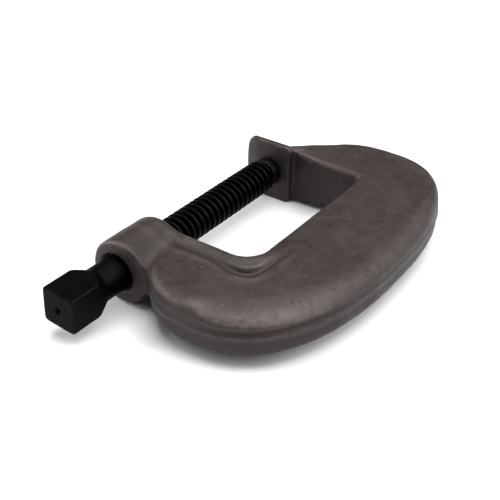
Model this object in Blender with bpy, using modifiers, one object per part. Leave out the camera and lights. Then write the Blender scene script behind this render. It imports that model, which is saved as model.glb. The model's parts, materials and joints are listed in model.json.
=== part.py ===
"""A 4 inch extra heavy forged C-clamp with a full-closing screw.

Four pieces: the forged frame with its tapped boss, the square-headed spindle, the swivel pad on the
spindle's tip, and the snap ring that holds the pad on. The clamp lies on its side, fully closed.

Lengths are in metres. The object's own datum is the point where the screw axis meets the anvil face:
+X is the way the screw advances, the spine of the C lies towards -Y, and +Z is square to the C.
"""

import math

import bmesh
import bpy

MM = 0.001
INCH = 25.4 * MM

# Screw: a 3/4-6 Acme thread. The two threads stand off each other by THREAD_PLAY on every flank.
SCREW_RADIUS = 0.375 * INCH
PITCH = INCH / 6
FLANK_SLOPE = math.tan(math.radians(14.5))
PITCH_RADIUS = SCREW_RADIUS - PITCH / 4
CREST_CLEARANCE = 0.254 * MM
THREAD_PLAY = 0.1 * MM
THREAD_STEPS = 20
THREAD_TIP_X = -7.0 * MM
STOCK_RADIUS = SCREW_RADIUS + 0.5 * MM
TIP_CHAMFER_RADIUS = SCREW_RADIUS - PITCH / 2 - 0.6 * MM

# Frame, set out in the plane of the C. The outer edge is a superellipse, rounder at the boss side.
THROAT_OPENING = 98.1 * MM
THROAT_DEPTH = 58.0 * MM
EDGE_CENTRE = (-49.1 * MM, -54.0 * MM)
EDGE_HALF_WIDTH = 95.2 * MM
EDGE_BELOW = 56.3 * MM
EDGE_ABOVE_BOSS_SIDE = 54.5 * MM
EDGE_ABOVE_ANVIL_SIDE = 50.0 * MM
EDGE_POWER_BOSS_SIDE = 2.41
EDGE_POWER_ANVIL_SIDE = 2.62
CORNER_RADIUS_BOSS_SIDE = 12.0 * MM
CORNER_RADIUS_ANVIL_SIDE = 3.5 * MM
ARM_TOP_Y = -15.5 * MM
ARM_IN_BOSS_Y = -6.0 * MM

# Sections along the far wall, the far corner, the spine, the near corner and the near wall of the throat,
# and the stretch of the outer edge that each of these faces, in degrees.
SECTIONS = (8, 7, 12, 10, 8)
EDGE_ANGLES = (45, -5, -57, -112, -180, -219)
HORN_SECTIONS = 6

# Half heights of the C's section: the outer rim, its shoulder, the crown by the throat, the throat's edge.
SECTION = (6.0 * MM, 11.0 * MM, 13.2 * MM, 10.6 * MM)
SECTION_AT_ANVIL = (5.5 * MM, 10.2 * MM, 13.6 * MM, 16.6 * MM)
SECTION_AT_TIP = (0.8 * MM, 2.0 * MM, 8.0 * MM, 7.0 * MM)
RIM_WIDTH = 2.0 * MM
SHOULDER_WIDTH = 5.3 * MM
CROWN_WIDTH = 4.5 * MM
EDGE_WIDTH = 1.3 * MM
FLARE_START_Y = -36.0 * MM
TIP_Y = 11.0 * MM
TIP_X = 6.0 * MM

# The boss is set a little towards the spine from the screw.
BOSS_RADIUS = 17.4 * MM
BOSS_CENTRE_Y = -1.5 * MM
BOSS_FRONT_X = -130.8 * MM
BOSS_BACK_X = -97.8 * MM
BOSS_FRONT_ROUNDING = 2.0 * MM
BOSS_BACK_ROUNDING = 3.5 * MM
MOUTH_RADIUS = SCREW_RADIUS + 1.3 * MM
MOUTH_OUTSIDE = 1.0 * MM
MOUTH_INSIDE = MOUTH_RADIUS - 7.0 * MM
THREAD_END_X = BOSS_FRONT_X  # the thread stops flush with the boss when the clamp is closed

ANVIL_HALF_HEIGHT = 17.9 * MM
ANVIL_TIP_Y = 18.3 * MM
ANVIL_SHOULDER_Y = 10.8 * MM
ANVIL_TIP_ROUNDING = 5.5 * MM
ANVIL_TIP_POWER = 0.9
ANVIL_TIP_STEPS = 24
ANVIL_ROUNDING_STEPS = 8
ANVIL_HEEL_Y = -13.6 * MM
ANVIL_THICKNESS = 4.3 * MM
ANVIL_STEP = 3.7 * MM

# Spindle
HEAD_FRONT_X = -169.7 * MM
HEAD_CORNER_X = -152.4 * MM
HEAD_BACK_X = -146.2 * MM
HEAD_HALF_FLATS = 0.375 * INCH
HEAD_TURN = math.radians(3.9)
HEAD_BEVEL_LENGTH = 0.7 * MM
HEAD_BEVEL_DROP = 1.1 * MM
HEAD_CLEARANCE = 0.1 * MM
NECK_RADIUS = 9.1 * MM
NECK_STEP = 1.0 * MM
NECK_CHAMFER = 1.8 * MM
CENTRE_HOLE_RADIUS = 0.8 * MM
CENTRE_HOLE_DEPTH = 4.0 * MM
CENTRE_HOLE_POINT = 0.5 * MM
CENTRE_CONE_RADIUS = 2.2 * MM
CENTRE_CONE_DEPTH = 2.0 * MM
CENTRE_OVERCUT = 0.4 * MM
SPIGOT_RADIUS = 4.2 * MM
SPIGOT_TIP_X = -1.9 * MM
SPIGOT_DOME = 0.5 * MM
SPIGOT_EDGE = 0.3 * MM

# Pad and its snap ring. GAP is left between pieces that touch.
GAP = 0.3 * MM
PAD_RADIUS = 8.4 * MM
PAD_BACK_X = -6.6 * MM
PAD_FACE_X = -GAP
PAD_FACE_CHAMFER = 0.7 * MM
PAD_BACK_CHAMFER = 1.0 * MM
RING_X = -4.5 * MM
RING_WIRE_RADIUS = 0.6 * MM
RING_RADIUS = SPIGOT_RADIUS + GAP / 2
RING_OPENING = math.radians(36)
GROOVE_HALF_WIDTH = RING_WIRE_RADIUS + 0.4 * MM

TURNED_STEPS = 48
HOLE_STEPS = 24
RING_STEPS = 30

# The lowest, middle point of the box around the whole clamp is the world's origin.
RIGHT_X = EDGE_CENTRE[0] + EDGE_HALF_WIDTH
DATUM = (
    -(HEAD_FRONT_X + RIGHT_X) / 2,
    -(ANVIL_TIP_Y + EDGE_CENTRE[1] - EDGE_BELOW) / 2,
    ANVIL_HALF_HEIGHT,
)
ALONG_X = (0.0, math.pi / 2, 0.0)  # turns local +Z to the screw axis


# ---------------------------------------------------------------- scene


def clear_scene():
    for old in list(bpy.data.objects):
        bpy.data.objects.remove(old, do_unlink=True)


def new_collection(name):
    collection = bpy.data.collections.new(name)
    bpy.context.scene.collection.children.link(collection)
    return collection


def place(obj, collection, location=(0, 0, 0), rotation=(0, 0, 0)):
    """Puts an object in its collection, at a place measured from the datum."""
    collection.objects.link(obj)
    obj.parent = datum
    obj.location = location
    obj.rotation_euler = rotation
    if collection is cutters:
        obj.hide_render = True
        obj.display_type = "WIRE"
    return obj


def material(name, colour, roughness, metallic):
    made = bpy.data.materials.new(name)
    made.use_nodes = True
    shader = made.node_tree.nodes["Principled BSDF"]
    shader.inputs["Base Color"].default_value = (*colour, 1.0)
    shader.inputs["Roughness"].default_value = roughness
    shader.inputs["Metallic"].default_value = metallic
    return made


def finish_part(obj, surface):
    obj.data.materials.append(surface)
    obj.data.shade_smooth()
    obj.data.set_sharp_from_angle(angle=math.radians(35))


# ---------------------------------------------------------------- modelling


def mesh_from_bmesh(name, bm):
    bmesh.ops.recalc_face_normals(bm, faces=bm.faces)
    mesh = bpy.data.meshes.new(name)
    bm.to_mesh(mesh)
    bm.free()
    return mesh


def baked(obj):
    """The mesh of an object with its modifiers applied. The object is removed."""
    graph = bpy.context.evaluated_depsgraph_get()
    mesh = bpy.data.meshes.new_from_object(obj.evaluated_get(graph))
    bm = bmesh.new()
    bm.from_mesh(mesh)
    bpy.data.objects.remove(obj, do_unlink=True)
    bmesh.ops.remove_doubles(bm, verts=bm.verts, dist=1e-7)
    return bm


def boolean(obj, operation, other):
    modifier = obj.modifiers.new(f"{operation.title()} {other.name}", "BOOLEAN")
    modifier.operation = operation
    modifier.object = other


def turned(name, profile, collection, x=0.0, steps=TURNED_STEPS):
    """A lathe-turned solid on the screw axis. profile: (radius, x) pairs from the +X end to the -X end."""
    bm = bmesh.new()
    verts = [bm.verts.new((radius, 0, height)) for radius, height in profile]
    for first, second in zip(verts, verts[1:]):
        bm.edges.new((first, second))
    mesh = bpy.data.meshes.new(name)
    bm.to_mesh(mesh)
    bm.free()
    obj = place(bpy.data.objects.new(name, mesh), collection, (x, 0, 0), ALONG_X)
    screw = obj.modifiers.new("Turned", "SCREW")
    screw.axis = "Z"
    screw.steps = steps
    screw.render_steps = steps
    screw.use_merge_vertices = True
    screw.merge_threshold = 1e-6
    return obj


def prism(name, outline, half_depth, collection, rotation=(0, 0, 0)):
    """A flat outline of (x, y) points, extruded by half_depth to each side."""
    curve = bpy.data.curves.new(name, "CURVE")
    curve.dimensions = "2D"
    curve.fill_mode = "BOTH"
    curve.extrude = half_depth
    spline = curve.splines.new("POLY")
    spline.points.add(len(outline) - 1)
    for point, (x, y) in zip(spline.points, outline):
        point.co = (x, y, 0, 1)
    spline.use_cyclic_u = True
    guide = bpy.data.objects.new(name + "_curve", curve)
    bpy.context.scene.collection.objects.link(guide)
    bm = baked(guide)
    bmesh.ops.dissolve_limit(bm, angle_limit=math.radians(0.5), verts=bm.verts, edges=bm.edges)
    mesh = mesh_from_bmesh(name, bm)
    return place(bpy.data.objects.new(name, mesh), collection, rotation=rotation)


def arc(centre, radius, start_degrees, end_degrees, steps):
    points = []
    for i in range(steps + 1):
        angle = math.radians(start_degrees + (end_degrees - start_degrees) * i / steps)
        points.append((centre[0] + radius * math.cos(angle), centre[1] + radius * math.sin(angle)))
    return points


def thread_profile(crest_radius, root_radius, extra):
    """One pitch of an Acme thread from top to bottom, root to root. extra widens the ridge on each flank."""

    def half_width(radius):
        return PITCH / 4 - (radius - PITCH_RADIUS) * FLANK_SLOPE + extra

    at_root = half_width(root_radius)
    at_crest = half_width(crest_radius)
    return [
        (root_radius, PITCH / 2),
        (root_radius, at_root),
        (crest_radius, at_crest),
        (crest_radius, -at_crest),
        (root_radius, -at_root),
        (root_radius, -PITCH / 2),
    ]


def threaded_rod(name, profile, start_x, turns, collection):
    """A right-hand threaded rod along the screw axis, closed by a fan of faces at each end."""
    bm = bmesh.new()
    verts = [bm.verts.new((radius, 0, height)) for radius, height in profile]
    for first, second in zip(verts, verts[1:]):
        bm.edges.new((first, second))
    mesh = bpy.data.meshes.new(name)
    bm.to_mesh(mesh)
    bm.free()
    guide = bpy.data.objects.new(name + "_guide", mesh)
    bpy.context.scene.collection.objects.link(guide)
    screw = guide.modifiers.new("Helix", "SCREW")
    screw.axis = "Z"
    screw.steps = THREAD_STEPS
    screw.render_steps = THREAD_STEPS
    screw.iterations = turns
    screw.screw_offset = PITCH
    bm = baked(guide)
    open_edges = [edge for edge in bm.edges if edge.is_boundary]
    middle = PITCH * turns / 2
    lower = [edge for edge in open_edges if edge.verts[0].co.z < middle]
    upper = [edge for edge in open_edges if edge.verts[0].co.z >= middle]
    for ends in (lower, upper):
        height = sum(vert.co.z for edge in ends for vert in edge.verts) / (2 * len(ends))
        centre = bm.verts.new((0, 0, height))
        for edge in ends:
            bm.faces.new((centre, *edge.verts))
    mesh = mesh_from_bmesh(name, bm)
    return place(bpy.data.objects.new(name, mesh), collection, (start_x, 0, 0), ALONG_X)


# ---------------------------------------------------------------- frame


def outer_edge(degrees):
    """A point of the superellipse. 0 is the widest point at the anvil side, and -90 is the spine's middle."""
    c, s = math.cos(math.radians(degrees)), math.sin(math.radians(degrees))
    power = 2 / (EDGE_POWER_BOSS_SIDE if c < 0 else EDGE_POWER_ANVIL_SIDE)
    above = EDGE_ABOVE_BOSS_SIDE if c < 0 else EDGE_ABOVE_ANVIL_SIDE
    reach = EDGE_BELOW if s < 0 else above
    return (
        EDGE_CENTRE[0] + EDGE_HALF_WIDTH * math.copysign(abs(c) ** power, c),
        EDGE_CENTRE[1] + reach * math.copysign(abs(s) ** power, s),
    )


def line(start, end, steps):
    """steps points from start towards end, without end itself."""
    return [tuple(a + (b - a) * i / steps for a, b in zip(start, end)) for i in range(steps)]


def mixed(first, second, share):
    return tuple(a + (b - a) * share for a, b in zip(first, second))


def stations():
    """(outer point, inner point, half heights) round the C, from the anvil's tip to inside the boss."""
    near, far = CORNER_RADIUS_BOSS_SIDE, CORNER_RADIUS_ANVIL_SIDE
    near_centre = (near - THROAT_OPENING, near - THROAT_DEPTH)
    far_centre = (ANVIL_STEP - far, far - THROAT_DEPTH)
    start = outer_edge(EDGE_ANGLES[0])
    found = []
    for i in range(HORN_SECTIONS):
        share = i / HORN_SECTIONS
        y = TIP_Y + (ARM_TOP_Y - TIP_Y) * share
        x = TIP_X + (start[0] - TIP_X) * math.sqrt(1 - (1 - share) ** 2)
        found.append(((x, y), (ANVIL_STEP, y), mixed(SECTION_AT_TIP, SECTION_AT_ANVIL, share)))
    on_far_wall, on_far_corner, on_spine, on_near_corner, on_near_wall = SECTIONS
    arm_end = (-THROAT_OPENING, ARM_IN_BOSS_Y)
    inner = line((ANVIL_STEP, ARM_TOP_Y), (ANVIL_STEP, far_centre[1]), on_far_wall)
    inner += arc(far_centre, far, 360, 270, on_far_corner)[:-1]
    inner += line((far_centre[0], -THROAT_DEPTH), (near_centre[0], -THROAT_DEPTH), on_spine)
    inner += arc(near_centre, near, 270, 180, on_near_corner)[:-1]
    inner += line((-THROAT_OPENING, near_centre[1]), arm_end, on_near_wall) + [arm_end]
    angles = []
    for first, last, steps in zip(EDGE_ANGLES, EDGE_ANGLES[1:], SECTIONS):
        angles += line((first,), (last,), steps)
    angles.append(EDGE_ANGLES[-1:])
    for (degrees,), point in zip(angles, inner):
        flare = (point[1] - FLARE_START_Y) / (ARM_TOP_Y - FLARE_START_Y)
        flare = min(max(flare, 0), 1) if point[0] > 0 else 0
        found.append((outer_edge(degrees), point, mixed(SECTION, SECTION_AT_ANVIL, flare)))
    return found


def section_points(outer, inner, heights):
    """The corners of one section, from the upper rim over the top to the throat, and back underneath."""
    width = math.dist(outer, inner)
    rim, shoulder, crown, edge = heights
    upper = (
        (0, rim),
        (RIM_WIDTH, (rim + 2 * shoulder) / 3),
        (min(SHOULDER_WIDTH, width * 0.4), shoulder),
        (width - min(CROWN_WIDTH, width * 0.4), crown),
        (width - min(EDGE_WIDTH, width * 0.2), crown - (crown - edge) / 4),
        (width, edge),
    )
    lower = [(distance, -height) for distance, height in reversed(upper)]
    return [(*mixed(outer, inner, distance / width), height) for distance, height in (*upper, *lower)]


def make_c():
    """The C itself, lofted through its stations."""
    bm = bmesh.new()
    rings = []
    for station in stations():
        rings.append([bm.verts.new(point) for point in section_points(*station)])
    for ring, following in zip(rings, rings[1:]):
        for i in range(len(ring)):
            j = (i + 1) % len(ring)
            bm.faces.new((ring[i], ring[j], following[j], following[i]))
    bm.faces.new(rings[0])
    bm.faces.new(rings[-1])
    return place(bpy.data.objects.new("frame", mesh_from_bmesh("frame", bm)), parts)


def anvil_outline():
    """The anvil plate seen along the screw: square heel, elliptical tip. First value is -Z, second is Y."""
    points = [(-ANVIL_HALF_HEIGHT, ANVIL_HEEL_Y - ANVIL_THICKNESS)]
    for i in range(ANVIL_TIP_STEPS + 1):
        angle = math.pi * (1 - i / ANVIL_TIP_STEPS)
        across = ANVIL_HALF_HEIGHT * math.cos(angle)
        up = ANVIL_SHOULDER_Y + (ANVIL_TIP_Y - ANVIL_SHOULDER_Y) * math.sin(angle) ** ANVIL_TIP_POWER
        points.append((across, up))
    points.append((ANVIL_HALF_HEIGHT, ANVIL_HEEL_Y - ANVIL_THICKNESS))
    return points


def make_boss():
    back, front = BOSS_BACK_ROUNDING, BOSS_FRONT_ROUNDING
    profile = [(0, BOSS_BACK_X)]
    profile += arc((BOSS_RADIUS - back, BOSS_BACK_X - back), back, 90, 0, 3)
    profile += arc((BOSS_RADIUS - front, BOSS_FRONT_X + front), front, 0, -90, 3)
    profile.append((0, BOSS_FRONT_X))
    boss = turned("boss", profile, cutters)
    boss.location.y = BOSS_CENTRE_Y
    return boss


def make_anvil_plate():
    """The plate at the anvil's face. Its free tip is rounded in plan and elliptical seen along the screw."""
    plan = [(ANVIL_THICKNESS, ANVIL_HEEL_Y), (0, ANVIL_HEEL_Y)]
    for i in range(ANVIL_ROUNDING_STEPS + 1):
        angle = math.pi / 2 * i / ANVIL_ROUNDING_STEPS
        x = ANVIL_THICKNESS * (1 - math.cos(angle))
        plan.append((x, ANVIL_TIP_Y - ANVIL_TIP_ROUNDING * (1 - math.sin(angle))))
    plate = prism("anvil_plate", plan, ANVIL_HALF_HEIGHT, cutters)
    face = prism("anvil_face", anvil_outline(), 2 * ANVIL_THICKNESS, cutters, rotation=ALONG_X)
    boolean(plate, "INTERSECT", face)
    return plate


def bore_mouth(name, x, way):
    """A 45 degree countersink at one end of the tapped bore. way is the X direction out of the boss."""
    profile = [
        (0, way * MOUTH_OUTSIDE),
        (MOUTH_RADIUS + MOUTH_OUTSIDE, way * MOUTH_OUTSIDE),
        (MOUTH_RADIUS - MOUTH_INSIDE, -way * MOUTH_INSIDE),
        (0, -way * MOUTH_INSIDE),
    ]
    if way < 0:
        profile.reverse()
    return turned(name, profile, cutters, x)


def make_frame():
    frame = make_c()
    for piece in (make_boss(), make_anvil_plate()):
        boolean(frame, "UNION", piece)
    internal = thread_profile(SCREW_RADIUS + CREST_CLEARANCE, SCREW_RADIUS - PITCH / 2, THREAD_PLAY)
    turns = math.ceil((BOSS_BACK_X - BOSS_FRONT_X) / PITCH) + 2
    start = THREAD_END_X - PITCH * 2
    boolean(frame, "DIFFERENCE", threaded_rod("tap", internal, start, turns, cutters))
    boolean(frame, "DIFFERENCE", bore_mouth("mouth_front", BOSS_FRONT_X, -1))
    boolean(frame, "DIFFERENCE", bore_mouth("mouth_back", BOSS_BACK_X, 1))
    finish_part(frame, material("forged_steel", (0.105, 0.085, 0.08), 0.55, 0.6))
    return frame


# ---------------------------------------------------------------- spindle, pad and ring


def make_head():
    """The square head: a bar turned on its corners at both ends."""
    bm = bmesh.new()
    bmesh.ops.create_cube(bm, size=1.0)
    length = HEAD_BACK_X - HEAD_FRONT_X
    bmesh.ops.scale(bm, vec=(length, 2 * HEAD_HALF_FLATS, 2 * HEAD_HALF_FLATS), verts=bm.verts)
    middle = ((HEAD_FRONT_X + HEAD_BACK_X) / 2, 0, 0)
    head = bpy.data.objects.new("head", mesh_from_bmesh("head", bm))
    place(head, cutters, middle, (HEAD_TURN, 0, 0))
    corner = HEAD_HALF_FLATS * math.sqrt(2)
    profile = [
        (0, HEAD_BACK_X + NECK_STEP),
        (NECK_RADIUS - NECK_STEP, HEAD_BACK_X + NECK_STEP),
        (NECK_RADIUS, HEAD_BACK_X),
        (corner, HEAD_CORNER_X),
        (corner + HEAD_CLEARANCE, HEAD_FRONT_X + HEAD_BEVEL_LENGTH),
        (corner - HEAD_BEVEL_DROP, HEAD_FRONT_X - HEAD_CLEARANCE / 2),
        (0, HEAD_FRONT_X - HEAD_CLEARANCE / 2),
    ]
    boolean(head, "INTERSECT", turned("head_turning", profile, cutters))
    return head


def make_spindle():
    external = thread_profile(SCREW_RADIUS, SCREW_RADIUS - PITCH / 2 - CREST_CLEARANCE, -THREAD_PLAY)
    turns = math.ceil((THREAD_TIP_X - THREAD_END_X) / PITCH) + 2
    spindle = threaded_rod("spindle", external, THREAD_END_X - PITCH, turns, parts)
    chamfer = STOCK_RADIUS - TIP_CHAMFER_RADIUS
    blank = [(0, THREAD_TIP_X), (TIP_CHAMFER_RADIUS, THREAD_TIP_X), (STOCK_RADIUS, THREAD_TIP_X - chamfer)]
    blank += [(STOCK_RADIUS, THREAD_END_X), (0, THREAD_END_X)]
    boolean(spindle, "INTERSECT", turned("thread_blank", blank, cutters))
    groove = RING_RADIUS - RING_WIRE_RADIUS - GAP
    core = [
        (0, SPIGOT_TIP_X),
        (SPIGOT_RADIUS / 2, SPIGOT_TIP_X - SPIGOT_DOME / 4),
        (SPIGOT_RADIUS - SPIGOT_EDGE, SPIGOT_TIP_X - SPIGOT_DOME),
        (SPIGOT_RADIUS, SPIGOT_TIP_X - SPIGOT_DOME - SPIGOT_EDGE),
        (SPIGOT_RADIUS, RING_X + GROOVE_HALF_WIDTH),
        (groove, RING_X + GROOVE_HALF_WIDTH),
        (groove, RING_X - GROOVE_HALF_WIDTH),
        (SPIGOT_RADIUS, RING_X - GROOVE_HALF_WIDTH),
        (SPIGOT_RADIUS, THREAD_END_X + NECK_CHAMFER),
        (NECK_RADIUS - NECK_CHAMFER, THREAD_END_X + NECK_CHAMFER),
        (NECK_RADIUS, THREAD_END_X),
        (NECK_RADIUS, HEAD_CORNER_X),
        (0, HEAD_CORNER_X),
    ]
    boolean(spindle, "UNION", turned("spindle_core", core, cutters))
    boolean(spindle, "UNION", make_head())
    centre_hole = [
        (0, HEAD_FRONT_X + CENTRE_HOLE_DEPTH + CENTRE_HOLE_POINT),
        (CENTRE_HOLE_RADIUS, HEAD_FRONT_X + CENTRE_HOLE_DEPTH),
        (CENTRE_HOLE_RADIUS, HEAD_FRONT_X + CENTRE_CONE_DEPTH),
        (CENTRE_CONE_RADIUS, HEAD_FRONT_X - CENTRE_OVERCUT),
        (0, HEAD_FRONT_X - CENTRE_OVERCUT),
    ]
    boolean(spindle, "DIFFERENCE", turned("centre_hole", centre_hole, cutters, steps=HOLE_STEPS))
    finish_part(spindle, material("black_oxide_steel", (0.012, 0.012, 0.013), 0.45, 0.7))
    return spindle


def make_pad():
    socket = SPIGOT_RADIUS + GAP
    groove = RING_RADIUS + RING_WIRE_RADIUS + GAP
    floor = SPIGOT_TIP_X + GAP
    profile = [
        (0, PAD_FACE_X),
        (PAD_RADIUS - PAD_FACE_CHAMFER, PAD_FACE_X),
        (PAD_RADIUS, PAD_FACE_X - PAD_FACE_CHAMFER),
        (PAD_RADIUS, PAD_BACK_X + PAD_BACK_CHAMFER),
        (PAD_RADIUS - PAD_BACK_CHAMFER, PAD_BACK_X),
        (socket, PAD_BACK_X),
        (socket, RING_X - GROOVE_HALF_WIDTH),
        (groove, RING_X - GROOVE_HALF_WIDTH),
        (groove, RING_X + GROOVE_HALF_WIDTH),
        (socket, RING_X + GROOVE_HALF_WIDTH),
        (socket, floor),
        (0, floor),
    ]
    pad = turned("swivel_pad", profile, parts)
    finish_part(pad, material("hardened_pad_steel", (0.02, 0.02, 0.021), 0.4, 0.7))
    return pad


def make_ring():
    """The snap ring, half in the spigot's groove and half in the pad's, with its opening towards +Z."""
    curve = bpy.data.curves.new("pad_retaining_ring", "CURVE")
    curve.dimensions = "3D"
    curve.bevel_depth = RING_WIRE_RADIUS
    curve.bevel_resolution = 2
    curve.use_fill_caps = True
    spline = curve.splines.new("POLY")
    spline.points.add(RING_STEPS)
    for i, point in enumerate(spline.points):
        angle = RING_OPENING / 2 + (2 * math.pi - RING_OPENING) * i / RING_STEPS
        point.co = (-RING_RADIUS * math.cos(angle), RING_RADIUS * math.sin(angle), 0, 1)
    ring = place(bpy.data.objects.new("pad_retaining_ring", curve), parts, (RING_X, 0, 0), ALONG_X)
    curve.materials.append(material("spring_steel", (0.2, 0.2, 0.21), 0.35, 0.9))
    return ring


clear_scene()
parts = new_collection("c_clamp")
cutters = new_collection("cutters")
datum = bpy.data.objects.new("screw_axis_at_anvil", None)
parts.objects.link(datum)
datum.location = DATUM
make_frame()
make_spindle()
make_pad()
make_ring()
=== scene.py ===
"""The looks of the C-clamp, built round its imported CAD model.

The forged frame and the spindle's head are implicit solids, turned into meshes here. The threads and
the pad are turned, and the ring is a swept wire. Lengths in the modelling part are millimetres from the
clamp's own datum: the point where the screw axis meets the anvil face, with +X the way the screw advances,
the spine of the C towards -Y and +Z square to the C. Finished objects are in metres, at rest, in the
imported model's frame.
"""

import json
import math

import bmesh
import bpy
import numpy as np
from mathutils import Matrix, Vector, noise


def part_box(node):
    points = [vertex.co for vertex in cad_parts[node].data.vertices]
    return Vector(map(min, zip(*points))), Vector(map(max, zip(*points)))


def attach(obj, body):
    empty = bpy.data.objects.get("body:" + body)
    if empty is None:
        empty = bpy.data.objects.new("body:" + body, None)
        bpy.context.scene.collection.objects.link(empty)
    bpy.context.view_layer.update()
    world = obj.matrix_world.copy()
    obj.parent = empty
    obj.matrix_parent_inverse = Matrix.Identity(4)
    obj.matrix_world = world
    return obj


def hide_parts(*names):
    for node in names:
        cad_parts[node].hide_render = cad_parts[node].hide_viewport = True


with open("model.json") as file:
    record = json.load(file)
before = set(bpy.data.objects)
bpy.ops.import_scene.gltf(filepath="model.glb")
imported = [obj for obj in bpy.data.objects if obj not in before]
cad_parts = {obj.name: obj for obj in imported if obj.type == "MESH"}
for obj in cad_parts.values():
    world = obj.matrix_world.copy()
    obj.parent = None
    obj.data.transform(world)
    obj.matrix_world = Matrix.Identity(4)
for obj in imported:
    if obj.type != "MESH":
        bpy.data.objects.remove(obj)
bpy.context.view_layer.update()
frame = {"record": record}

MM = 0.001
JOINTS = {joint["name"]: joint for joint in frame["record"]["behaviour"]["joints"]}
DATUM = Vector(JOINTS["spindle_turn"]["pos_m"])

# Screw thread, as in the CAD model.
SCREW_RADIUS = 9.525
PITCH = 25.4 / 6
FLANK_SLOPE = math.tan(math.radians(14.5))
PITCH_RADIUS = SCREW_RADIUS - PITCH / 4
CREST_CLEARANCE = 0.254
THREAD_PLAY = 0.1
THREAD_STEPS = 64
THREAD_TIP_X = -7.0
TAP_EDGE = 0.08
SCREW_EDGE = 0.12
STOCK_RADIUS = SCREW_RADIUS + 0.5
TIP_CHAMFER_RADIUS = SCREW_RADIUS - PITCH / 2 - 0.6

# The C. In each pair the boss side comes first, then the anvil side.
THROAT_LEFT = -98.1
THROAT_RIGHT = 3.7
THROAT_BOTTOM = -58.0
THROAT_CORNERS = (12.0, 3.5)
EDGE_CENTRE = (-49.1, -54.0)
EDGE_HALF_WIDTH = 95.2
EDGE_BELOW = 56.3
EDGE_ABOVE = (54.5, 50.0)
EDGE_POWERS = (2.41, 2.62)
HORN_CENTRE = (6.0, -15.5)
HORN_REACH = (18.0, 26.5)
HORN_BLEND = 16.0
HORN_TAPER = 0.47
CROWN = 13.2
SHOULDER = 11.2
FLARE_START = -36.0
FLARE_FADE = 4.5
FLARE_ABOVE = 3.4
FLARE_BELOW = 4.6
FAR_CROWN = 0.9
DRAFT = 0.03
SEAM_WIDTH = 1.2
RIM_SEAM = 0.4
BOSS_SEAM = 0.25
THROAT_SEAM = 0.12

# The slant from the rim to the top: where it starts, and its angle at the middle of the spine. It gets
# flatter towards the boss side.
SLANT_DEPTH = 1.0
SLANT_HEIGHT = 5.6
SLANT_ANGLE = 45
SLANT_FLATTENING = 14
SLANT_EASING = 5.0

# The bead beside the throat, the trough outside it and the trough's outer lip. The second value of each
# pair is what the rounded corner adds to the first.
CORNER_ANGLE = 37
CORNER_SPREAD = 27
BEAD_HEIGHT = 1.25
BEAD_DISTANCE = (5.4, 1.6)
BEAD_WIDTH = 3.2
TROUGH_DISTANCE = (10.0, 4.4)
TROUGH_DEPTH = (0.6, 1.9)
LIP_DISTANCE = (4.2, 2.3)
LIP_WIDTH = 1.8

# Boss and anvil plate.
BOSS_RADIUS = 17.4
BOSS_Y = -1.5
BOSS_FRONT = -130.8
BOSS_BACK = -97.8
BOSS_END = -70
BOSS_BLEND = 4.5
MOUTH_RADIUS = SCREW_RADIUS + 1.3
MOUTH_OUTSIDE = 1
MOUTH_INSIDE = 4
MOUTH_STEPS = 96
PLATE_HALF_HEIGHT = 17.9
PLATE_THICKNESS = 4.3
PLATE_HEEL = -13.6
PLATE_SHOULDER = 10.8
PLATE_TIP = 18.3
PLATE_TIP_ROUNDING = 11.0
PLATE_CURVE = 2.1
PLATE_MARGIN = 0.35

# The forging's mesh: the corners of its grid, the grid's step, and the waves that the die leaves in it,
# each with its height, its length and its place in the noise.
FORGING_LOW = (-146.4, -112.4, -19.2)
FORGING_HIGH = (48.4, 20.4, 19.2)
FORGING_STEP = 0.78
WAVES = ((0.16, 21, (0, 0, 0)), (0.07, 6.5, (9, 4, 2)), (0.03, 2.4, (3, 8, 5)))

# How meshed points settle on their surface, and how far apart the samples are that find ridges.
SETTLING_PASSES = 3
SETTLING_REACH = 0.02
BEND_REACH = 1.1

# Spindle, pad and ring.
HEAD_FRONT = -169.7
HEAD_CORNER = -152.4
HEAD_BACK = -146.2
HEAD_TURN = math.radians(3.9)
HEAD_BEVEL_DROP = 1.1
HEAD_BEVEL_SLOPE = 1.6
HEAD_STEP = 0.42
HEAD_REACH = 14.5
CENTRE_CONE_RADIUS = 2.0
CENTRE_CONE_SLOPE = 0.6
CENTRE_HOLE_RADIUS = 0.8
CENTRE_HOLE_DEPTH = 4.0
NECK_RADIUS = 9.1
NECK_REACH = 1.2
SPIGOT_RADIUS = 4.2
SPIGOT_TIP = -1.9
SPIGOT_DOME = 0.12
SPIGOT_ROUNDING = 0.5
SPIGOT_SHOULDER = 0.8
GAP = 0.3
PAD_RADIUS = 8.4
PAD_BACK = -6.6
PAD_FACE_ROUNDING = 0.8
PAD_BACK_ROUNDING = 1.0
PAD_SOCKET_CHAMFER = 0.3
RING_X = -4.5
RING_WIRE = 0.6
RING_RADIUS = SPIGOT_RADIUS + GAP / 2
RING_OPENING = math.radians(36)
RING_STEPS = 90
GROOVE_HALF_WIDTH = RING_WIRE + 0.4

# Camera and lights. A light has a direction from the clamp, a width in degrees and a strength.
CAMERA_AZIMUTH = 35.64
CAMERA_ELEVATION = 33.33
CAMERA_ROLL = 0.00536
CAMERA_LENS = 63.64
CAMERA_SHIFT = (-0.001, 0.001)
CAMERA_PLACE = Vector((-380.96, -259.91, 246.56))
LIGHTS = {
    "key": ((-0.3, 0.85, 0.42), 45, 3.0),
    "overhead": ((0.17, 0.0, 1.0), 55, 3.4),
    "right": ((0.4, -0.7, 0.58), 55, 2.6),
}
WORLD_LIGHT = 0.1
WORLD_BACKDROP = 1.0
FLOOR_SIZE = 60


# ---------------------------------------------------------------- fields


def smooth_max(a, b, width):
    """The larger of two fields, with the edge between them rounded."""
    near = np.clip(width - np.abs(a - b), 0, None) / width
    return np.maximum(a, b) + near * near * width / 4


def smooth_min(a, b, width):
    return -smooth_max(-a, -b, width)


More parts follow.
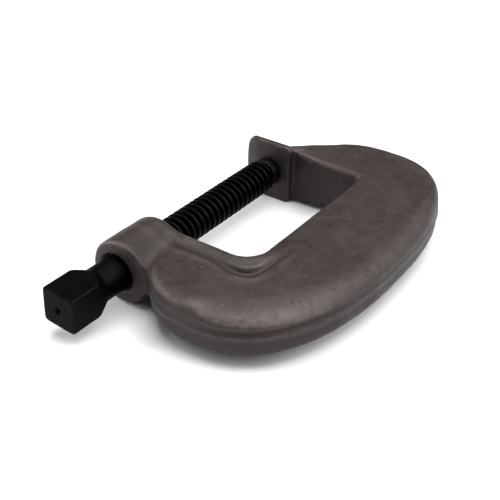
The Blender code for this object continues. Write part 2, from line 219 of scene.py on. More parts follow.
def ramp(value, low, high):
    """0 below low, 1 above high, smooth between."""
    share = np.clip((value - low) / (high - low), 0, 1)
    return share * share * (3 - 2 * share)


def hump(value, centre, width):
    """1 at the centre, falling smoothly to 0 on both sides."""
    return np.exp(-(((value - centre) / width) ** 2))


def rising(pair, share):
    return pair[0] + pair[1] * share


def oval_depth(x, y, reach_x, reach_y, power):
    """Depth inside a superellipse about the origin, true near its edge."""
    u = np.abs(x) / reach_x + 1e-9
    v = np.abs(y) / reach_y + 1e-9
    size = (u**power + v**power) ** (1 / power)
    slope = size ** (1 - power) * np.hypot(u ** (power - 1) / reach_x, v ** (power - 1) / reach_y)
    return (1 - size) / slope


def edge_depth(x, y):
    """How far a point lies inside the C's outer edge, the horn behind the anvil included."""
    dx, dy = x - EDGE_CENTRE[0], y - EDGE_CENTRE[1]
    power = np.where(dx < 0, EDGE_POWERS[0], EDGE_POWERS[1])
    above = np.where(dx < 0, EDGE_ABOVE[0], EDGE_ABOVE[1])
    body = oval_depth(dx, dy, EDGE_HALF_WIDTH, np.where(dy < 0, EDGE_BELOW, above), power)
    horn = oval_depth(x - HORN_CENTRE[0], y - HORN_CENTRE[1], *HORN_REACH, 2.0)
    return smooth_max(body, horn, HORN_BLEND)


def throat_depth(x, y):
    """How far a point lies outside the throat, the open slot between the boss and the anvil."""
    middle = (THROAT_LEFT + THROAT_RIGHT) / 2
    radius = np.where(x < middle, *THROAT_CORNERS)
    across = np.abs(x - middle) - (THROAT_RIGHT - THROAT_LEFT) / 2 + radius
    down = THROAT_BOTTOM - y + radius
    outside = np.hypot(np.clip(across, 0, None), np.clip(down, 0, None))
    return outside + np.minimum(np.maximum(across, down), 0) - radius


def bead(x, y, inner):
    """The raised bead that runs down the boss arm beside the throat and dies out along the spine, with
    the trough outside it, which is deepest round the corner."""
    corner_x = THROAT_LEFT + THROAT_CORNERS[0]
    corner_y = THROAT_BOTTOM + THROAT_CORNERS[0]
    angle = np.degrees(np.arctan2(corner_y - y, corner_x - x))
    diagonal = hump(angle, CORNER_ANGLE, CORNER_SPREAD)
    along_arm = ramp(-x, 70, 96)
    rise = BEAD_HEIGHT * hump(inner, rising(BEAD_DISTANCE, diagonal), BEAD_WIDTH) * along_arm
    brink = rising(TROUGH_DISTANCE, diagonal)
    deep = rising(TROUGH_DEPTH, diagonal) * along_arm * ramp(-y, 6, 22)
    lip = brink + rising(LIP_DISTANCE, diagonal)
    fall = deep * (ramp(inner, brink - 3.0, brink) - ramp(inner, brink + 0.4, lip - 1.0))
    return rise - fall + 0.25 * deep * hump(inner, lip, LIP_WIDTH)


def top_height(x, y, outer, inner, flare):
    """Half height of the C: high beside the throat, lower towards its outer edge, flared at the anvil."""
    share = np.clip(inner, 0, None) / (np.clip(inner, 0, None) + np.clip(outer, 0.5, None))
    height = CROWN - (CROWN - SHOULDER) * ramp(share, 0.1, 0.95)
    height = height + bead(x, y, inner)
    anvil_side = x > EDGE_CENTRE[0]
    at_anvil = ramp(y, FLARE_START, HORN_CENTRE[1]) * anvil_side
    height = height + flare * at_anvil * np.exp(-np.clip(inner, 0, None) / FLARE_FADE)
    up_horn = np.clip((y - HORN_CENTRE[1]) / HORN_REACH[1], 0, 1) * anvil_side
    return height * (1 - HORN_TAPER * up_horn)


def slant_field(x, z, outer, plain):
    """The slant between the rim and the top. It fades out where the forging is plain."""
    lean = np.radians(SLANT_ANGLE - SLANT_FLATTENING * ramp(-x, 80, 115))
    slant = np.sin(lean) * (SLANT_DEPTH - outer) + np.cos(lean) * (z - SLANT_HEIGHT)
    return slant - SLANT_EASING * plain


def rim_field(x, y, z, outer):
    """The outer rim, with the parting ridge at its middle and a groove above the ridge near the boss."""
    high = np.abs(z)
    seam = RIM_SEAM * (1 - hump(z, 0, SEAM_WIDTH))
    hollow = 0.2 * hump(high, 2.9, 1.5)
    hollow = hollow + 0.75 * hump(z, 3.6, 1.6) * hump(x, -122, 30) * ramp(-y, 50, 75)
    return seam + hollow + DRAFT * high - outer


def boss_field(x, y, z):
    """The boss. It runs on into the throat, whose wall cuts it off."""
    seam = BOSS_SEAM * (1 - hump(z, 0, SEAM_WIDTH))
    boss = smooth_max(np.hypot(y - BOSS_Y, z) - BOSS_RADIUS + seam, BOSS_FRONT - x, 3.0)
    return smooth_max(boss, x - BOSS_END, 3.4)


def frame_field(x, y, z):
    """Below zero inside the forging, before the bore is cut."""
    high, above = np.abs(z), z > 0
    outer, inner = edge_depth(x, y), throat_depth(x, y)
    at_far_end = ramp(x, -30, 25)
    plain = np.maximum(at_far_end, ramp(y, -70, -42) * (x < EDGE_CENTRE[0]))
    height = top_height(x, y, outer, inner, np.where(above, FLARE_ABOVE, FLARE_BELOW))
    height = height + FAR_CROWN * at_far_end * ramp(z, 0, 4) * hump(outer, 2, 9)
    body = smooth_max(high - height, slant_field(x, z, outer, plain), 4.0)
    body = smooth_max(body, rim_field(x, y, z, outer), np.where(above, 1.6 + 3.9 * plain, 5.5))
    body = smooth_min(body, boss_field(x, y, z), BOSS_BLEND)
    wall = DRAFT * high - inner - THROAT_SEAM * hump(z, 0, SEAM_WIDTH)
    body = smooth_max(body, wall, np.where(above, 4.0, 2.2))
    body = smooth_min(body, plate_field(x, y, z), 3.0)
    return np.maximum(body, high - PLATE_HALF_HEIGHT + 0.01)


def plate_field(x, y, z):
    """The anvil plate: flat face, elliptical tip, every edge rounded."""
    above = np.clip(y - PLATE_SHOULDER, 0, None)
    reach = (PLATE_HALF_HEIGHT + PLATE_MARGIN, PLATE_TIP - PLATE_SHOULDER + PLATE_MARGIN)
    face = smooth_max(-oval_depth(z, above, *reach, PLATE_CURVE), PLATE_HEEL - y, 5.0)
    back = x - PLATE_THICKNESS
    tip = oval_depth(
        PLATE_THICKNESS - x,
        np.clip(y - (PLATE_TIP - PLATE_TIP_ROUNDING), 0, None),
        PLATE_THICKNESS,
        PLATE_TIP_ROUNDING,
        2.0,
    )
    return smooth_max(smooth_max(face, -tip, 1.6), back, 1.0)


def head_field(x, y, z):
    """The square head, turned on its corners at both ends, with the neck behind it."""
    c, s = math.cos(HEAD_TURN), math.sin(HEAD_TURN)
    across, up = np.abs(c * y + s * z), np.abs(c * z - s * y)
    square = smooth_max(across, up, 1.0) - SCREW_RADIUS
    round_ = np.hypot(y, z)
    corner = SCREW_RADIUS * math.sqrt(2)
    back_slope = (corner - NECK_RADIUS) / (HEAD_BACK - HEAD_CORNER)
    back_cone = (round_ - corner + (x - HEAD_CORNER) * back_slope) / math.hypot(1, back_slope)
    front_cone = round_ - corner + HEAD_BEVEL_DROP - (x - HEAD_FRONT) * HEAD_BEVEL_SLOPE
    front_cone = front_cone / math.hypot(1, HEAD_BEVEL_SLOPE)
    head = smooth_max(smooth_max(square, back_cone, 0.6), front_cone, 0.5)
    head = smooth_max(head, HEAD_FRONT - x, 0.5)
    neck = smooth_max(round_ - NECK_RADIUS, x - BOSS_FRONT - NECK_REACH, 1.5)
    neck = np.maximum(neck, HEAD_CORNER - x)
    cone = round_ - CENTRE_CONE_RADIUS + (x - HEAD_FRONT) * CENTRE_CONE_SLOPE
    drilled = np.maximum(round_ - CENTRE_HOLE_RADIUS, x - HEAD_FRONT - CENTRE_HOLE_DEPTH)
    hole = np.minimum(cone / math.hypot(1, CENTRE_CONE_SLOPE), drilled)
    return smooth_max(smooth_min(head, neck, 1.2), -hole, 0.3)


# ---------------------------------------------------------------- meshes


def slope_of(field, points, reach):
    """The field's value, slope and bend at points, from samples a reach away on each axis."""
    value = field(*points.T)
    slope = np.empty_like(points)
    bend = -6 * value
    for axis in range(3):
        offset = np.zeros(3)
        offset[axis] = reach
        ahead, behind = field(*(points + offset).T), field(*(points - offset).T)
        slope[:, axis] = (ahead - behind) / (2 * reach)
        bend += ahead + behind
    return value, slope, bend / reach**2


def surface_net(field, low, high, step):
    """Points and quads of the surface where a field is zero."""
    axes = [np.arange(a, b + step, step) for a, b in zip(low, high)]
    values = field(*np.ix_(*axes))
    cells = tuple(n - 1 for n in values.shape)
    total, count = np.zeros((*cells, 3)), np.zeros(cells)
    walls = []
    for axis in range(3):
        b, c = (axis + 1) % 3, (axis + 2) % 3
        before = values[tuple(slice(0, -1) if k == axis else slice(None) for k in range(3))]
        after = values[tuple(slice(1, None) if k == axis else slice(None) for k in range(3))]
        crossing = (before < 0) != (after < 0)
        with np.errstate(divide="ignore", invalid="ignore"):
            share = np.where(crossing, before / (before - after), 0)
        for b_side in (0, 1):
            for c_side in (0, 1):
                part = [slice(None)] * 3
                part[b] = slice(b_side, b_side + cells[b])
                part[c] = slice(c_side, c_side + cells[c])
                hit = crossing[tuple(part)]
                count += hit
                total[..., axis] += share[tuple(part)]
                total[..., b] += hit * b_side
                total[..., c] += hit * c_side
        walls.append((axis, b, c, crossing, before))
    used = count > 0
    number = np.full(cells, -1)
    number[used] = np.arange(used.sum())
    points = np.argwhere(used) + total[used] / count[used][:, None]
    points = points * step + np.array(low)
    quads = []
    for axis, b, c, crossing, before in walls:
        edges = np.argwhere(crossing)
        inside = (edges[:, b] > 0) & (edges[:, c] > 0)
        inside &= (edges[:, b] < cells[b]) & (edges[:, c] < cells[c])
        edges = edges[inside]
        ring = []
        for b_back, c_back in ((1, 1), (0, 1), (0, 0), (1, 0)):
            cell = edges.copy()
            cell[:, b] -= b_back
            cell[:, c] -= c_back
            ring.append(number[tuple(cell.T)])
        quad = np.stack(ring, axis=1)
        outward = before[tuple(edges.T)] < 0
        quad[~outward] = quad[~outward][:, ::-1]
        quads.append(quad)
    for _ in range(SETTLING_PASSES):
        value, slope, _ = slope_of(field, points, SETTLING_REACH)
        move = slope * (value / (slope**2).sum(1))[:, None]
        points -= np.clip(move, -step / 2, step / 2)
    return points, np.concatenate(quads)


def to_world(points):
    return points * MM + np.array(DATUM)


def mesh_object(name, points, faces, attributes=None):
    """An object whose points are given in millimetres from the datum."""
    mesh = bpy.data.meshes.new(name)
    mesh.from_pydata(to_world(points), [], faces.tolist())
    for key, values in (attributes or {}).items():
        mesh.attributes.new(key, "FLOAT", "POINT").data.foreach_set("value", values)
    obj = bpy.data.objects.new(name, mesh)
    bpy.context.scene.collection.objects.link(obj)
    return obj


def baked(obj):
    """The mesh of an object with its modifiers applied. The object is removed."""
    graph = bpy.context.evaluated_depsgraph_get()
    mesh = bpy.data.meshes.new_from_object(obj.evaluated_get(graph))
    bpy.data.objects.remove(obj, do_unlink=True)
    return mesh


def apply_modifiers(obj):
    graph = bpy.context.evaluated_depsgraph_get()
    mesh = bpy.data.meshes.new_from_object(obj.evaluated_get(graph))
    obj.modifiers.clear()
    obj.data = mesh
    return obj


def boolean(obj, operation, other):
    modifier = obj.modifiers.new(operation.title(), "BOOLEAN")
    modifier.operation = operation
    modifier.object = other
    modifier.solver = "EXACT"
    modifier.material_mode = "TRANSFER"
    apply_modifiers(obj)
    bpy.data.objects.remove(other, do_unlink=True)
    return obj


def spun(name, profile, steps, iterations=1, rise=0.0):
    """The mesh of a profile of (radius, height) pairs, from top to bottom, turned about local +Z."""
    mesh = bpy.data.meshes.new(name)
    edges = [(i, i + 1) for i in range(len(profile) - 1)]
    mesh.from_pydata([(radius, 0, height) for radius, height in profile], edges, [])
    guide = bpy.data.objects.new(name, mesh)
    bpy.context.scene.collection.objects.link(guide)
    screw = guide.modifiers.new("Turned", "SCREW")
    screw.steps = steps
    screw.render_steps = steps
    screw.iterations = iterations
    screw.screw_offset = rise
    screw.use_merge_vertices = rise == 0
    screw.merge_threshold = 1e-3
    bm = bmesh.new()
    bm.from_mesh(baked(guide))
    bmesh.ops.remove_doubles(bm, verts=bm.verts, dist=1e-3)
    open_edges = [edge for edge in bm.edges if edge.is_boundary]
    middle = rise * iterations / 2
    lower = [edge for edge in open_edges if edge.verts[0].co.z < middle]
    upper = [edge for edge in open_edges if edge.verts[0].co.z >= middle]
    for ends in filter(None, (lower, upper)):
        height = sum(vert.co.z for edge in ends for vert in edge.verts) / (2 * len(ends))
        centre = bm.verts.new((0, 0, height))
        for edge in ends:
            bm.faces.new((centre, *edge.verts))
    bmesh.ops.recalc_face_normals(bm, faces=bm.faces)
    made = bpy.data.meshes.new(name)
    bm.to_mesh(made)
    bm.free()
    return made


def turned(name, profile, steps=128, start=0.0, **helix):
    """A turned object on the screw axis. Local +Z becomes +X, and millimetres become metres."""
    mesh = spun(name, profile, steps, **helix)
    stand = Matrix.Translation(DATUM) @ Matrix.Scale(MM, 4) @ Matrix.Translation((start, 0, 0))
    mesh.transform(stand @ Matrix.Rotation(math.pi / 2, 4, "Y"))
    obj = bpy.data.objects.new(name, mesh)
    bpy.context.scene.collection.objects.link(obj)
    return obj


def arc(centre, radius, start, end, steps=6):
    """(radius, x) pairs of a rounded edge. Angles are in degrees from the outward direction to +X."""
    angles = np.radians(np.linspace(start, end, steps + 1))
    return [(centre[0] + radius * math.cos(a), centre[1] + radius * math.sin(a)) for a in angles]


def thread_profile(crest, root, extra, softening):
    """One pitch of an Acme thread, root to root from top to bottom, with its crest's edges broken."""

    def half_width(radius):
        return PITCH / 4 - (radius - PITCH_RADIUS) * FLANK_SLOPE + extra

    way = math.copysign(1, crest - root)
    side = [
        (root, PITCH / 2),
        (root, half_width(root) + softening),
        (root + way * softening, half_width(root + way * softening)),
        (crest - way * softening, half_width(crest - way * softening)),
        (crest, half_width(crest) - softening),
    ]
    return side + [(radius, -height) for radius, height in reversed(side)]


def flag(obj, name, rule):
    """Writes a number for each point of an object, from the point's place in millimetres."""
    mesh = obj.data
    places = np.empty(len(mesh.vertices) * 3)
    mesh.vertices.foreach_get("co", places)
    places = (places.reshape(-1, 3) - np.array(DATUM)) / MM
    if name in mesh.attributes:
        mesh.attributes.remove(mesh.attributes[name])
    mesh.attributes.new(name, "FLOAT", "POINT").data.foreach_set("value", rule(*places.T))


# ---------------------------------------------------------------- materials


class Shader:
    """A node material that is written out line by line."""

    def __init__(self, name):
        self.material = bpy.data.materials.new(name)
        self.material.use_nodes = True
        self.tree = self.material.node_tree
        self.surface = self.tree.nodes["Principled BSDF"]
        self.place = self.node("ShaderNodeTexCoord").outputs["Object"]

    def node(self, kind, **settings):
        made = self.tree.nodes.new(kind)
        for key, value in settings.items():
            setattr(made, key, value)
        return made

    def feed(self, socket, value):
        if isinstance(value, bpy.types.NodeSocket):
            self.tree.links.new(value, socket)
        else:
            socket.default_value = value

    def noise(self, size_mm, detail=4.0, roughness=0.55, distortion=0.0, stretch=None):
        place = self.place
        if stretch:
            mapping = self.node("ShaderNodeMapping")
            self.feed(mapping.inputs["Vector"], place)
            mapping.inputs["Scale"].default_value = stretch
            place = mapping.outputs["Vector"]
        made = self.node("ShaderNodeTexNoise")
        self.feed(made.inputs["Vector"], place)
        made.inputs["Scale"].default_value = 1 / (size_mm * MM)
        made.inputs["Detail"].default_value = detail
        made.inputs["Roughness"].default_value = roughness
        made.inputs["Distortion"].default_value = distortion
        return made.outputs["Fac"]

    def cells(self, size_mm):
        made = self.node("ShaderNodeTexVoronoi")
        self.feed(made.inputs["Vector"], self.place)
        made.inputs["Scale"].default_value = 1 / (size_mm * MM)
        return made.outputs["Distance"]

    def attribute(self, name):
        return self.node("ShaderNodeAttribute", attribute_name=name).outputs["Fac"]

    def math(self, operation, *values):
        made = self.node("ShaderNodeMath", operation=operation)
        for socket, value in zip(made.inputs, values):
            self.feed(socket, value)
        return made.outputs["Value"]

    def span(self, value, low, high, to_low=0.0, to_high=1.0):
        made = self.node("ShaderNodeMapRange")
        for socket, given in zip(made.inputs, (value, low, high, to_low, to_high)):
            self.feed(socket, given)
        return made.outputs["Result"]

    def mix(self, share, first, second):
        made = self.node("ShaderNodeMix", data_type="RGBA")
        for name, value in (("Factor_Float", share), ("A_Color", first), ("B_Color", second)):
            socket = next(s for s in made.inputs if s.identifier == name)
            self.feed(socket, (*value, 1) if isinstance(value, tuple) else value)
        return next(s for s in made.outputs if s.identifier == "Result_Color")

    def bump(self, height, depth_mm, normal=None):
        made = self.node("ShaderNodeBump")
        self.feed(made.inputs["Height"], height)
        made.inputs["Strength"].default_value = 1.0
        made.inputs["Distance"].default_value = depth_mm * MM
        if normal:
            self.feed(made.inputs["Normal"], normal)
        return made.outputs["Normal"]

    def finish(self, colour, roughness, metallic, normal=None):
        self.feed(self.surface.inputs["Base Color"], colour)
        self.feed(self.surface.inputs["Roughness"], roughness)
        self.surface.inputs["Metallic"].default_value = metallic
        if normal:
            self.feed(self.surface.inputs["Normal"], normal)
        return self.material


def forged_steel():
    """Forging scale under a thin satin coat: brown-grey, mottled, pitted, rubbed on its ridges, with
    painted highlight bands on the outer shoulder, the bead and the lip, and painted shade in hollows, on
    walls and undersides.
    """
    s = Shader("forged_steel_scale")
    broad = s.noise(38, 3.0, 0.5, 0.6)
    patches = s.noise(7.5, 5.0, 0.6, 0.4)
    grain = s.noise(1.1, 3.0, 0.6)
    tone = s.math("ADD", s.math("MULTIPLY", broad, 0.45), s.math("MULTIPLY", patches, 0.4))
    tone = s.math("ADD", tone, s.math("MULTIPLY", grain, 0.15))
    colour = s.mix(s.span(tone, 0.38, 0.62), (0.0246, 0.0175, 0.0166), (0.041, 0.031, 0.0288))
    speckle = s.span(s.noise(2.4, 2.0, 0.5), 0.62, 0.78)
    colour = s.mix(s.math("MULTIPLY", speckle, 0.5), colour, (0.085, 0.071, 0.066))
    coarse = s.noise(2.1, 4.0, 0.65)
    mottle = s.math("ADD", s.math("MULTIPLY", patches, 0.6), s.math("MULTIPLY", coarse, 0.4))
    # Lighter colour where sharp edges are rubbed, plus painted highlight bands along the outer shoulder,
    # the bead and the lip.
    lightened = s.math("MULTIPLY", s.attribute("ridge"), s.span(mottle, 0.4, 0.58, 0.3, 1.0))
    colour = s.mix(s.math("MULTIPLY", lightened, 0.6), colour, (0.098, 0.082, 0.077))
    # Painted shade: darker colour in hollows, on steep walls and undersides, and on the boss's flank
    # beside the arm.
    shaded = s.math("MULTIPLY", s.attribute("hollow"), 0.75)
    colour = s.mix(shaded, colour, (0.0185, 0.0138, 0.0134))
    sparse = s.span(s.noise(11, 2.0), 0.52, 0.6)
    pits = s.math("MULTIPLY", s.span(s.cells(4.2), 0.2, 0.08), sparse)
    colour = s.mix(s.math("MULTIPLY", pits, 0.4), colour, (0.0155, 0.0115, 0.0108))
    roughness = s.span(s.math("ADD", patches, s.math("MULTIPLY", grain, 0.5)), 0.5, 1.0, 0.44, 0.62)
    roughness = s.math("SUBTRACT", roughness, s.math("MULTIPLY", lightened, 0.1))
    s.surface.inputs["Specular IOR Level"].default_value = 0.38
    normal = s.bump(patches, 0.35)
    normal = s.bump(grain, 0.1, normal)
    normal = s.bump(s.math("SUBTRACT", 1.0, pits), 0.12, normal)
    return s.finish(colour, roughness, 0.45, normal)


def tapped_steel():
    """The machined thread inside the boss, dark with oil."""
    s = Shader("tapped_thread")
    grain = s.noise(0.8, 3.0, 0.6)
    colour = s.mix(grain, (0.03, 0.028, 0.027), (0.075, 0.072, 0.07))
    return s.finish(colour, s.span(grain, 0.3, 0.7, 0.3, 0.5), 0.7, s.bump(grain, 0.03))


def black_oxide():
    """Oiled black oxide with the thread's crests and the head's corners rubbed."""
    s = Shader("black_oxide")
    cloud = s.noise(9, 4.0, 0.55)
    grain = s.noise(0.7, 3.0, 0.6)
    lathe = s.noise(0.9, 2.0, 0.5, 0.0, (4.0, 0.15, 0.15))
    colour = s.mix(s.span(cloud, 0.35, 0.65), (0.0024, 0.0022, 0.0021), (0.005, 0.0047, 0.0045))
    lightened = s.math("MULTIPLY", s.attribute("ridge"), s.span(cloud, 0.35, 0.65, 0.3, 1.0))
    colour = s.mix(s.math("MULTIPLY", lightened, 0.35), colour, (0.013, 0.0124, 0.0122))
    roughness = s.span(s.math("ADD", cloud, grain), 0.7, 1.3, 0.38, 0.56)
    roughness = s.math("SUBTRACT", roughness, s.math("MULTIPLY", lightened, 0.08))
    s.surface.inputs["Specular Tint"].default_value = (0.6, 0.6, 0.6, 1)
    normal = s.bump(grain, 0.035)
    normal = s.bump(lathe, 0.02, normal)
    return s.finish(colour, roughness, 0.95, normal)


def hardened_steel():
    """The pad: heat-treated black, with turning rings and a rubbed rim."""
    s = Shader("hardened_pad")
    cloud = s.noise(5, 4.0, 0.6)
    rings = s.noise(0.5, 2.0, 0.5, 0.0, (3.0, 1.0, 1.0))
    colour = s.mix(s.span(cloud, 0.35, 0.65), (0.0034, 0.0033, 0.0034), (0.0075, 0.0072, 0.0072))
    lightened = s.attribute("ridge")
    colour = s.mix(s.math("MULTIPLY", lightened, 0.5), colour, (0.02, 0.0195, 0.019))
    roughness = s.span(s.math("ADD", cloud, rings), 0.7, 1.3, 0.32, 0.5)
    s.surface.inputs["Specular Tint"].default_value = (0.6, 0.6, 0.6, 1)
    return s.finish(colour, roughness, 0.9, s.bump(rings, 0.03))


def spring_steel():
    """Bright drawn wire with faint lines along it."""
    s = Shader("spring_wire")
    lines = s.noise(0.35, 3.0, 0.6)
    colour = s.mix(lines, (0.14, 0.14, 0.145), (0.28, 0.275, 0.27))
    return s.finish(colour, s.span(lines, 0.3, 0.7, 0.22, 0.4), 0.9, s.bump(lines, 0.01))


def floor_paint():
    s = Shader("pale_floor")
    tone = s.noise(400, 2.0, 0.5)
    return s.finish(s.mix(tone, (0.86, 0.86, 0.86), (0.88, 0.88, 0.88)), 0.9, 0.0)


# ---------------------------------------------------------------- pieces


def forging_waves(points, slopes):
    """The points of the forged skin, moved along their normals as a die leaves them."""
    moved = np.empty_like(points)
    for i, (point, slope) in enumerate(zip(points, slopes)):
        place = Vector(point)
        waves = (
            height * noise.noise(place / length + Vector(offset)) for height, length, offset in WAVES
        )
        moved[i] = point + slope * sum(waves)
    return moved


def edge_wear_and_painted_highlight(x, y, slope_z, bend):
    """How much the scale is lightened: sharp edges rubbed by handling, and painted highlight bands on the
    outer shoulder, the bead and the lip.
    """
    # Painted highlight: a lighter band on the upward-facing outer shoulder, fading towards the boss.
    shoulder = hump(edge_depth(x, y), 5.0, 3.5) * ramp(slope_z, 0.3, 0.7)
    shoulder *= (0.45 + 0.55 * ramp(-x, 85, 120)) * ramp(-y, 32, 62)
    inner = throat_depth(x, y)
    # Painted highlight on the bead's crest and the trough's outer lip.
    bead_and_lip = np.maximum(hump(inner, 5.0, 3.0), hump(inner, 14.2, 2.2)) * ramp(-x, 75, 98)
    bead_and_lip *= 0.75 * ramp(slope_z, 0.6, 0.9)
    # Only the sharp-edge term is wear from handling.
    return np.maximum(ramp(bend, 0.12, 0.5), np.maximum(shoulder, bead_and_lip))


def painted_shade_mask(x, y, z, slope_z, bend):
    """How much painted shade darkens the scale: hollows, walls and undersides, and the boss's flank beside
    the arm.
    """
    # Painted shade on steep walls and undersides.
    steep = ramp(0.25 - slope_z, 0, 0.3)
    # Painted shade in the valley where the boss meets the arm.
    flank = hump(y, -10.5, 5.0) * ramp(-x, 97, 103) * ramp(z, 0, 5)
    return np.maximum(ramp(-bend, 0.05, 0.35), np.maximum(0.75 * steep, flank))


def make_forging():
    """The forged frame: its skin with waves, wear, painted highlight and painted shade, and the bore
    tapped through the boss.
    """
    points, quads = surface_net(frame_field, FORGING_LOW, FORGING_HIGH, FORGING_STEP)
    _, slope, bend = slope_of(frame_field, points, BEND_REACH)
    slope /= np.linalg.norm(slope, axis=1)[:, None]
    on_front = (np.abs(points[:, 0] - BOSS_FRONT) < 1.0) & (slope[:, 0] < -0.9)
    on_face = np.abs(points[:, 0]) < 0.6
    on_bottom = points[:, 2] < -PLATE_HALF_HEIGHT + 0.6
    rough = ~(on_front | on_face | on_bottom)
    points[rough] = forging_waves(points[rough], slope[rough])
    least, most = ((np.array(corner) - np.array(DATUM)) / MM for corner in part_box("frame"))
    points = np.clip(points, least, most)
    x, y, z = points.T
    shape = {
        # ridge: rubbed edges plus painted highlight bands; hollow: painted shade.
        "ridge": np.where(rough, edge_wear_and_painted_highlight(x, y, slope[:, 2], bend), 0.15),
        "hollow": np.where(rough, painted_shade_mask(x, y, z, slope[:, 2], bend), 0),
    }
    forging = mesh_object("forged_frame", points, quads, shape)
    forging.data.materials.append(forged_steel())
    bore = tapped_steel()
    for cutter in bore_cutters():
        cutter.data.materials.append(bore)
        boolean(forging, "DIFFERENCE", cutter)
    forging.data.shade_smooth()
    forging.data.set_sharp_from_angle(angle=math.radians(38))
    return forging


def bore_cutters():
    """The tap, and a countersink for each end of the bore."""
    crest = SCREW_RADIUS + CREST_CLEARANCE
    profile = thread_profile(crest, SCREW_RADIUS - PITCH / 2, THREAD_PLAY, TAP_EDGE)
    turns = math.ceil((BOSS_BACK - BOSS_FRONT) / PITCH) + 3
    start = BOSS_FRONT - PITCH * 2
    yield turned("tap", profile, THREAD_STEPS, start, iterations=turns, rise=PITCH)
    for x, way in ((BOSS_FRONT, -1), (THROAT_LEFT, 1)):
        cone = [
            (0, way * MOUTH_OUTSIDE),
            (MOUTH_RADIUS + MOUTH_OUTSIDE, way * MOUTH_OUTSIDE),
            (MOUTH_RADIUS - MOUTH_INSIDE, -way * MOUTH_INSIDE),
            (0, -way * MOUTH_INSIDE),
        ]
        yield turned("mouth", cone[::way], MOUTH_STEPS, x)


def spindle_wear(x, y, z):
    """How far the thread's crests and the head's edges and rim are rubbed."""
    away = np.hypot(y, z)
    crest = ramp(away, SCREW_RADIUS - 0.25, SCREW_RADIUS - 0.05) * (x > BOSS_FRONT)
    c, s = math.cos(HEAD_TURN), math.sin(HEAD_TURN)
    flats = np.minimum(np.abs(c * y + s * z), np.abs(c * z - s * y))
    edges = ramp(flats, SCREW_RADIUS - 0.9, SCREW_RADIUS - 0.3) * (x < HEAD_BACK)
    rim = hump(x, HEAD_FRONT + 0.4, 0.5) * ramp(away, 8.5, 9.8)
    return np.maximum(np.maximum(crest, edges), rim)


def make_spindle():
    """The threaded rod, the plain core with its spigot, and the head, joined."""
    root = SCREW_RADIUS - PITCH / 2 - CREST_CLEARANCE
    profile = thread_profile(SCREW_RADIUS, root, -THREAD_PLAY, SCREW_EDGE)
    turns = math.ceil((THREAD_TIP_X - BOSS_FRONT) / PITCH) + 2
    start = BOSS_FRONT - PITCH
    rod = turned("spindle_steel", profile, THREAD_STEPS, start, iterations=turns, rise=PITCH)
    chamfer_end = THREAD_TIP_X - STOCK_RADIUS + TIP_CHAMFER_RADIUS
    blank = [(0, THREAD_TIP_X), (TIP_CHAMFER_RADIUS, THREAD_TIP_X), (STOCK_RADIUS, chamfer_end)]
    blank += [(STOCK_RADIUS, BOSS_FRONT), (0, BOSS_FRONT)]
    boolean(rod, "INTERSECT", turned("blank", blank))
    groove = RING_RADIUS - RING_WIRE - GAP
    core = [(0, SPIGOT_TIP), (SPIGOT_RADIUS / 2, SPIGOT_TIP - SPIGOT_DOME)]
    rounding_centre = (SPIGOT_RADIUS - SPIGOT_ROUNDING, SPIGOT_TIP - SPIGOT_SHOULDER)
    core += arc(rounding_centre, SPIGOT_ROUNDING, 60, 0)
    core += [
        (SPIGOT_RADIUS, RING_X + GROOVE_HALF_WIDTH),
        (groove, RING_X + GROOVE_HALF_WIDTH),
        (groove, RING_X - GROOVE_HALF_WIDTH),
        (SPIGOT_RADIUS, RING_X - GROOVE_HALF_WIDTH),
        (SPIGOT_RADIUS, BOSS_FRONT - 1.0),
        (0, BOSS_FRONT - 1.0),
    ]
    boolean(rod, "UNION", turned("core", core))
    low = (HEAD_FRONT - 1, -HEAD_REACH, -HEAD_REACH)
    high = (BOSS_FRONT + 2, HEAD_REACH, HEAD_REACH)
    boolean(rod, "UNION", mesh_object("head", *surface_net(head_field, low, high, HEAD_STEP)))
    flag(rod, "ridge", spindle_wear)
    return steel_finish(rod, black_oxide())


def steel_finish(obj, surface):
    obj.data.materials.clear()
    obj.data.materials.append(surface)
    obj.data.shade_smooth()
    obj.data.set_sharp_from_angle(angle=math.radians(30))
    return obj


def pad_wear(x, y, z):
    return ramp(np.hypot(y, z), PAD_RADIUS - 0.7, PAD_RADIUS - 0.1) * 0.7


def make_pad():
    """The turned pad, with the groove for the ring in its socket."""
    socket = SPIGOT_RADIUS + GAP
    groove = RING_RADIUS + RING_WIRE + GAP
    floor = SPIGOT_TIP + GAP
    face, back = PAD_FACE_ROUNDING, PAD_BACK_ROUNDING
    profile = [(0, -GAP), (PAD_RADIUS - 2 * face, -GAP)]
    profile += arc((PAD_RADIUS - face, -GAP - face), face, 90, 0)
    profile += arc((PAD_RADIUS - back, PAD_BACK + back), back, 0, -90)
    profile += [
        (socket + PAD_SOCKET_CHAMFER, PAD_BACK),
        (socket, PAD_BACK + PAD_SOCKET_CHAMFER),
        (socket, RING_X - GROOVE_HALF_WIDTH),
        (groove, RING_X - GROOVE_HALF_WIDTH),
        (groove, RING_X + GROOVE_HALF_WIDTH),
        (socket, RING_X + GROOVE_HALF_WIDTH),
        (socket, floor),
        (0, floor),
    ]
    pad = turned("pad_steel", profile)
    flag(pad, "ridge", pad_wear)
    return steel_finish(pad, hardened_steel())


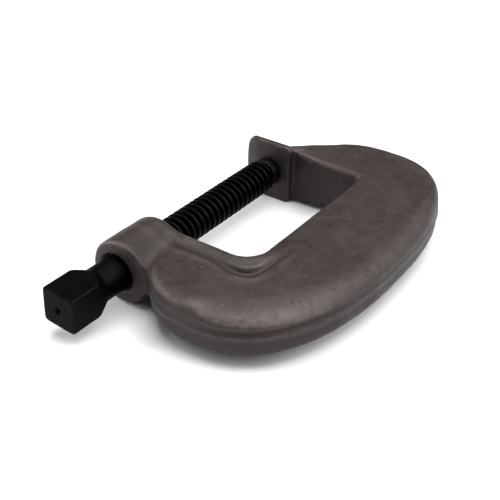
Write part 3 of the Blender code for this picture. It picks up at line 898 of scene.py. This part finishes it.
def make_ring():
    """The snap ring, a bent wire with its opening towards +Z."""
    curve = bpy.data.curves.new("snap_ring", "CURVE")
    curve.dimensions = "3D"
    curve.bevel_depth = RING_WIRE * MM
    curve.bevel_resolution = 6
    curve.use_fill_caps = True
    spline = curve.splines.new("POLY")
    spline.points.add(RING_STEPS)
    for i, point in enumerate(spline.points):
        angle = RING_OPENING / 2 + (2 * math.pi - RING_OPENING) * i / RING_STEPS
        y, z = RING_RADIUS * math.sin(angle), RING_RADIUS * math.cos(angle)
        point.co = (*(DATUM + Vector((RING_X, y, z)) * MM), 1)
    guide = bpy.data.objects.new("snap_ring", curve)
    bpy.context.scene.collection.objects.link(guide)
    ring = bpy.data.objects.new("snap_ring_wire", baked(guide))
    bpy.context.scene.collection.objects.link(ring)
    return steel_finish(ring, spring_steel())


# ---------------------------------------------------------------- stage


def make_floor():
    bpy.ops.mesh.primitive_plane_add(size=FLOOR_SIZE)
    floor = bpy.context.object
    floor.name = "floor"
    floor.data.materials.append(floor_paint())


def view_axes(azimuth, elevation, roll):
    """Right, up and forward of a camera. Azimuth is measured from +X towards +Y and elevation downwards,
    both in degrees. Roll is in radians."""
    a, e = math.radians(azimuth), math.radians(elevation)
    forward = Vector((math.cos(e) * math.cos(a), math.cos(e) * math.sin(a), -math.sin(e)))
    right = forward.cross(Vector((0, 0, 1))).normalized()
    up = right.cross(forward)
    c, s = math.cos(roll), math.sin(roll)
    return right * c + up * s, up * c - right * s, forward


def make_camera():
    right, up, forward = view_axes(CAMERA_AZIMUTH, CAMERA_ELEVATION, CAMERA_ROLL)
    data = bpy.data.cameras.new("camera")
    data.lens = CAMERA_LENS
    data.shift_x, data.shift_y = CAMERA_SHIFT
    camera = bpy.data.objects.new("camera", data)
    bpy.context.scene.collection.objects.link(camera)
    turn = Matrix((right, up, -forward)).transposed().to_4x4()
    camera.matrix_world = Matrix.Translation(DATUM + CAMERA_PLACE * MM) @ turn
    bpy.context.scene.camera = camera


def make_light(name, direction, angle, strength):
    """A distant soft light. angle is how wide it looks from the clamp, in degrees."""
    data = bpy.data.lights.new(name, "SUN")
    data.angle = math.radians(angle)
    data.energy = strength
    light = bpy.data.objects.new(name, data)
    bpy.context.scene.collection.objects.link(light)
    light.location = Vector(direction)
    light.rotation_euler = Vector(direction).to_track_quat("Z", "Y").to_euler()


def make_world():
    """A white backdrop, dimmer as a light than as the camera sees it."""
    world = bpy.data.worlds.new("studio")
    world.use_nodes = True
    tree = world.node_tree
    backdrop = tree.nodes["Background"]
    backdrop.inputs["Color"].default_value = (1, 1, 1, 1)
    seen = tree.nodes.new("ShaderNodeLightPath").outputs["Is Camera Ray"]
    strength = tree.nodes.new("ShaderNodeMapRange")
    tree.links.new(seen, strength.inputs["Value"])
    strength.inputs["To Min"].default_value = WORLD_LIGHT
    strength.inputs["To Max"].default_value = WORLD_BACKDROP
    tree.links.new(strength.outputs["Result"], backdrop.inputs["Strength"])
    bpy.context.scene.world = world
    bpy.context.scene.view_settings.view_transform = "Standard"


make_camera()
make_floor()
for light, settings in LIGHTS.items():
    make_light(light, *settings)
make_world()

forging = make_forging()
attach(forging, "frame")
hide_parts("frame")

spindle = make_spindle()
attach(spindle, "spindle")
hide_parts("spindle")

pad = make_pad()
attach(pad, "pad")
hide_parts("swivel_pad")

ring = make_ring()
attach(ring, "pad_carrier")
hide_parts("pad_retaining_ring")
